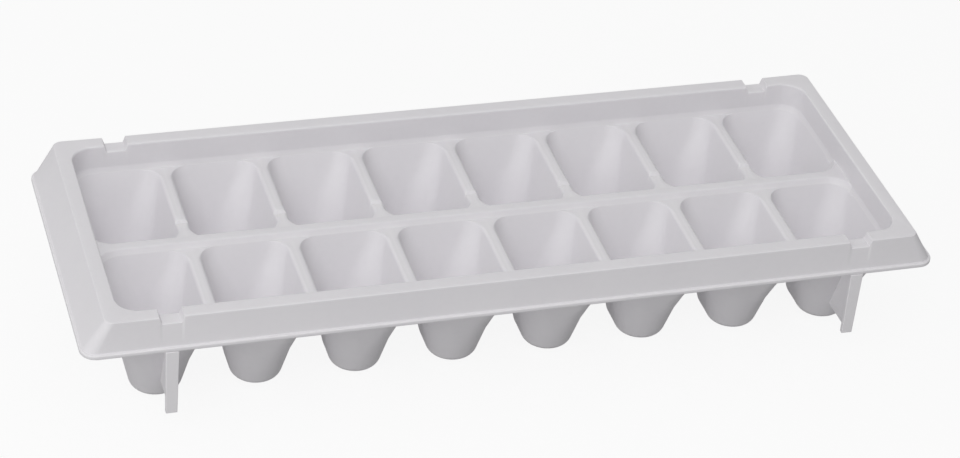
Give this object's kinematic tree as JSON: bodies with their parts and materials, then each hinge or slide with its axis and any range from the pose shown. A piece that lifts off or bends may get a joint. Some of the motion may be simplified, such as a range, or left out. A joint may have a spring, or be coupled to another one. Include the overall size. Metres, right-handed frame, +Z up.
{
  "type": "ice cube tray",
  "caption": "Long moulded ice cube tray with rows of tapered wells inside a raised rim, a turned-out lip, stacking notches in the rim and short stacking legs under it.",
  "frame": {"origin": "middle of the tray's footprint, on the surface that its cup bottoms stand on", "axes": "+X along the two rows of wells, +Y from the front row to the back row, +Z up"},
  "size_m": [0.3, 0.1102, 0.0455],
  "materials": {
    "tray_plastic": "pale cool grey moulded plastic with a fine satin texture"
  },
  "bodies": {
    "root": {"rim_frame": "tray_plastic", "centre_rib": "tray_plastic", "well_front_1": "tray_plastic", "well_front_2": "tray_plastic", "well_front_3": "tray_plastic", "well_front_4": "tray_plastic", "well_front_5": "tray_plastic", "well_front_6": "tray_plastic", "well_front_7": "tray_plastic", "well_front_8": "tray_plastic", "well_back_1": "tray_plastic", "well_back_2": "tray_plastic", "well_back_3": "tray_plastic", "well_back_4": "tray_plastic", "well_back_5": "tray_plastic", "well_back_6": "tray_plastic", "well_back_7": "tray_plastic", "well_back_8": "tray_plastic", "leg_front_left": "tray_plastic", "leg_front_right": "tray_plastic", "leg_back_left": "tray_plastic", "leg_back_right": "tray_plastic"}
  },
  "joints": []
}
